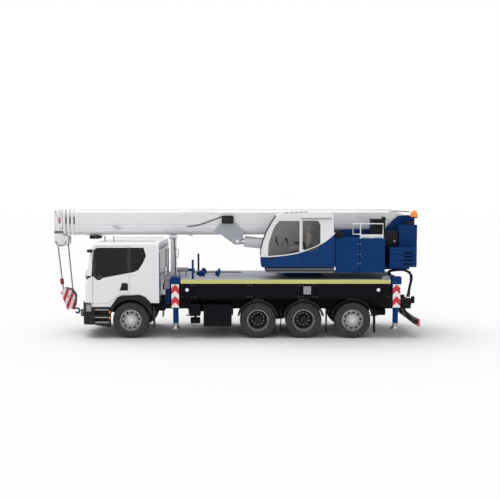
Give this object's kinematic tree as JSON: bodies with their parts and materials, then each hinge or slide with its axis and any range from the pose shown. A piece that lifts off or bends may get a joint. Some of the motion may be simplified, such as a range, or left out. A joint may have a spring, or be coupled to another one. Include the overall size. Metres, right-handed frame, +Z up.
{
  "type": "truck-mounted telescopic mobile crane",
  "caption": "Four-axle truck crane with a carrier cab, outriggers, slewing superstructure, operator's cab and a telescopic boom stored over the cab.",
  "frame": {"origin": "on the ground, under the middle of the vehicle's length and width", "axes": "+X to the rear, +Y to the passenger's side, +Z up"},
  "size_m": [10.82, 2.54, 3.6619],
  "materials": {
    "tyre_rubber": "matt black rubber",
    "axle_black": "satin black chassis paint",
    "frame_black": "satin black chassis paint",
    "engine_grey": "painted iron",
    "blue_paint": "gloss deep blue",
    "white_paint": "gloss white",
    "glass": "tinted",
    "seat_fabric": "woven",
    "dark_plastic": "grained",
    "black_plastic": "grained black",
    "lamp_glass": "clear lens",
    "deck_grey": "light grey non-slip",
    "skirt_black": "satin near-black",
    "amber_plastic": "amber lens",
    "steel_grey": "bare steel",
    "chrome_rod": "hard chrome",
    "hook_red": "red and white stripes"
  },
  "bodies": {
    "chassis": {"chassis_frame": "frame_black", "axles": "axle_black", "engine": "engine_grey", "cab_shell": "white_paint", "cab_glass": "glass", "cab_seats": "seat_fabric", "cab_dashboard": "dark_plastic", "cab_bumper": "black_plastic", "lamps": "lamp_glass", "cab_trim": "black_plastic", "mudguards": "black_plastic", "deck": "deck_grey", "skirts": "skirt_black", "outrigger_boxes": "blue_paint", "boom_rest": "deck_grey", "deck_fittings": "blue_paint", "side_tanks": "skirt_black", "tail_frame": "frame_black"},
    "cab_door_left": {"cab_door_left": "white_paint"},
    "cab_door_right": {"cab_door_right": "white_paint"},
    "steer_1_left": {"knuckle_1_left": "axle_black"},
    "steer_1_right": {"knuckle_1_right": "axle_black"},
    "steer_4_left": {"knuckle_4_left": "axle_black"},
    "steer_4_right": {"knuckle_4_right": "axle_black"},
    "wheel_1_left": {"wheel_1_left": "tyre_rubber"},
    "wheel_1_right": {"wheel_1_right": "tyre_rubber"},
    "wheel_2_left": {"wheel_2_left": "tyre_rubber"},
    "wheel_2_right": {"wheel_2_right": "tyre_rubber"},
    "wheel_3_left": {"wheel_3_left": "tyre_rubber"},
    "wheel_3_right": {"wheel_3_right": "tyre_rubber"},
    "wheel_4_left": {"wheel_4_left": "tyre_rubber"},
    "wheel_4_right": {"wheel_4_right": "tyre_rubber"},
    "beam_front_left": {"beam_front_left": "blue_paint"},
    "jack_front_left": {"jack_front_left": "blue_paint"},
    "beam_front_right": {"beam_front_right": "blue_paint"},
    "jack_front_right": {"jack_front_right": "blue_paint"},
    "beam_rear_left": {"beam_rear_left": "blue_paint"},
    "jack_rear_left": {"jack_rear_left": "blue_paint"},
    "beam_rear_right": {"beam_rear_right": "blue_paint"},
    "jack_rear_right": {"jack_rear_right": "blue_paint"},
    "turntable": {"turntable_frame": "blue_paint", "operator_cab": "white_paint", "operator_glass": "glass", "operator_seat": "seat_fabric", "side_cabinets": "blue_paint", "railing": "white_paint", "oil_cooler": "black_plastic", "counterweight": "blue_paint", "winch_housing": "blue_paint", "beacon": "amber_plastic"},
    "operator_door": {"operator_door": "white_paint"},
    "winch_drum": {"winch_drum": "steel_grey"},
    "lift_barrel": {"lift_barrel": "blue_paint"},
    "lift_rod": {"lift_rod": "chrome_rod"},
    "boom_base": {"boom_base": "white_paint"},
    "boom_section_2": {"boom_section_2": "white_paint"},
    "boom_section_3": {"boom_section_3": "white_paint"},
    "boom_section_4": {"boom_section_4": "white_paint"},
    "boom_section_5": {"boom_section_5": "white_paint"},
    "hook_block": {"hook_block": "hook_red"}
  },
  "joints": [
    {"name": "cab_door_left_hinge", "type": "hinge", "parent": "chassis", "child": "cab_door_left", "pos_m": [-3.996, -1.2, 1.6], "axis": [0, 0, -1], "range_deg": [0, 72]},
    {"name": "cab_door_right_hinge", "type": "hinge", "parent": "chassis", "child": "cab_door_right", "pos_m": [-3.996, 1.2, 1.6], "axis": [0, 0, 1], "range_deg": [0, 72]},
    {"name": "steer_1_left", "type": "hinge", "parent": "chassis", "child": "steer_1_left", "pos_m": [-2.934, -0.83, 0.52], "axis": [0, 0, 1], "range_deg": [-36, 36]},
    {"name": "steer_1_right", "type": "hinge", "parent": "chassis", "child": "steer_1_right", "pos_m": [-2.934, 0.83, 0.52], "axis": [0, 0, 1], "range_deg": [-36, 36]},
    {"name": "steer_4_left", "type": "hinge", "parent": "chassis", "child": "steer_4_left", "pos_m": [3.409, -0.83, 0.52], "axis": [0, 0, 1], "range_deg": [-14, 14]},
    {"name": "steer_4_right", "type": "hinge", "parent": "chassis", "child": "steer_4_right", "pos_m": [3.409, 0.83, 0.52], "axis": [0, 0, 1], "range_deg": [-14, 14]},
    {"name": "wheel_1_left_spin", "type": "hinge", "parent": "steer_1_left", "child": "wheel_1_left", "pos_m": [-2.934, -1, 0.52], "axis": [0, 1, 0], "continuous": true},
    {"name": "wheel_1_right_spin", "type": "hinge", "parent": "steer_1_right", "child": "wheel_1_right", "pos_m": [-2.934, 1, 0.52], "axis": [0, 1, 0], "continuous": true},
    {"name": "wheel_2_left_spin", "type": "hinge", "parent": "chassis", "child": "wheel_2_left", "pos_m": [0.701, -1, 0.52], "axis": [0, 1, 0], "continuous": true},
    {"name": "wheel_2_right_spin", "type": "hinge", "parent": "chassis", "child": "wheel_2_right", "pos_m": [0.701, 1, 0.52], "axis": [0, 1, 0], "continuous": true},
    {"name": "wheel_3_left_spin", "type": "hinge", "parent": "chassis", "child": "wheel_3_left", "pos_m": [2.011, -1, 0.52], "axis": [0, 1, 0], "continuous": true},
    {"name": "wheel_3_right_spin", "type": "hinge", "parent": "chassis", "child": "wheel_3_right", "pos_m": [2.011, 1, 0.52], "axis": [0, 1, 0], "continuous": true},
    {"name": "wheel_4_left_spin", "type": "hinge", "parent": "steer_4_left", "child": "wheel_4_left", "pos_m": [3.409, -1, 0.52], "axis": [0, 1, 0], "continuous": true},
    {"name": "wheel_4_right_spin", "type": "hinge", "parent": "steer_4_right", "child": "wheel_4_right", "pos_m": [3.409, 1, 0.52], "axis": [0, 1, 0], "continuous": true},
    {"name": "beam_front_left_slide", "type": "slide", "parent": "chassis", "child": "beam_front_left", "axis": [0, -1, 0], "range_m": [0, 1.7]},
    {"name": "jack_front_left_slide", "type": "slide", "parent": "beam_front_left", "child": "jack_front_left", "axis": [0, 0, -1], "range_m": [0, 0.6]},
    {"name": "beam_front_right_slide", "type": "slide", "parent": "chassis", "child": "beam_front_right", "axis": [0, 1, 0], "range_m": [0, 1.7]},
    {"name": "jack_front_right_slide", "type": "slide", "parent": "beam_front_right", "child": "jack_front_right", "axis": [0, 0, -1], "range_m": [0, 0.6]},
    {"name": "beam_rear_left_slide", "type": "slide", "parent": "chassis", "child": "beam_rear_left", "axis": [0, -1, 0], "range_m": [0, 1.7]},
    {"name": "jack_rear_left_slide", "type": "slide", "parent": "beam_rear_left", "child": "jack_rear_left", "axis": [0, 0, -1], "range_m": [0, 0.6]},
    {"name": "beam_rear_right_slide", "type": "slide", "parent": "chassis", "child": "beam_rear_right", "axis": [0, 1, 0], "range_m": [0, 1.7]},
    {"name": "jack_rear_right_slide", "type": "slide", "parent": "beam_rear_right", "child": "jack_rear_right", "axis": [0, 0, -1], "range_m": [0, 0.6]},
    {"name": "slew", "type": "hinge", "parent": "chassis", "child": "turntable", "pos_m": [2.075, 0, 1.79], "axis": [0, 0, 1], "continuous": true},
    {"name": "operator_door_slide", "type": "slide", "parent": "turntable", "child": "operator_door", "axis": [1, 0, 0], "range_m": [0, 0.85]},
    {"name": "winch_spin", "type": "hinge", "parent": "turntable", "child": "winch_drum", "pos_m": [5.05, 0, 2.76], "axis": [0, 1, 0], "continuous": true},
    {"name": "luff", "type": "hinge", "parent": "turntable", "child": "boom_base", "pos_m": [5.04, 0, 3.29], "axis": [0, 1, 0], "range_deg": [0, 80]},
    {"name": "lift_barrel_pivot", "type": "hinge", "parent": "turntable", "child": "lift_barrel", "pos_m": [3.165, 0, 2.42], "axis": [0, 1, 0], "range_deg": [0, 90]},
    {"name": "lift_rod_slide", "type": "slide", "parent": "lift_barrel", "child": "lift_rod", "axis": [-0.9949, 0, 0.1006], "range_m": [0, 2.58]},
    {"name": "telescope_2", "type": "slide", "parent": "boom_base", "child": "boom_section_2", "axis": [-1, 0, 0], "range_m": [0, 6.2]},
    {"name": "telescope_3", "type": "slide", "parent": "boom_section_2", "child": "boom_section_3", "axis": [-1, 0, 0], "range_m": [0, 6.2]},
    {"name": "telescope_4", "type": "slide", "parent": "boom_section_3", "child": "boom_section_4", "axis": [-1, 0, 0], "range_m": [0, 6.2]},
    {"name": "telescope_5", "type": "slide", "parent": "boom_section_4", "child": "boom_section_5", "axis": [-1, 0, 0], "range_m": [0, 6.2]},
    {"name": "hook_swing", "type": "hinge", "parent": "boom_section_5", "child": "hook_block", "pos_m": [-5.157, 0, 2.745], "axis": [0, 1, 0], "range_deg": [-80, 0]}
  ],
  "couplings": [
    {"joint": "steer_1_right", "follows": "steer_1_left", "ratio": 1},
    {"joint": "steer_4_left", "follows": "steer_1_left", "ratio": -0.36},
    {"joint": "steer_4_right", "follows": "steer_1_left", "ratio": -0.36},
    {"joint": "lift_barrel_pivot", "follows": "luff", "ratio": 1.1118},
    {"joint": "lift_rod_slide", "follows": "luff", "m_per_rad": 1.8451},
    {"joint": "hook_swing", "follows": "luff", "ratio": -1},
    {"joint": "telescope_3", "follows": "telescope_2", "ratio": 1},
    {"joint": "telescope_4", "follows": "telescope_2", "ratio": 1},
    {"joint": "telescope_5", "follows": "telescope_2", "ratio": 1}
  ]
}
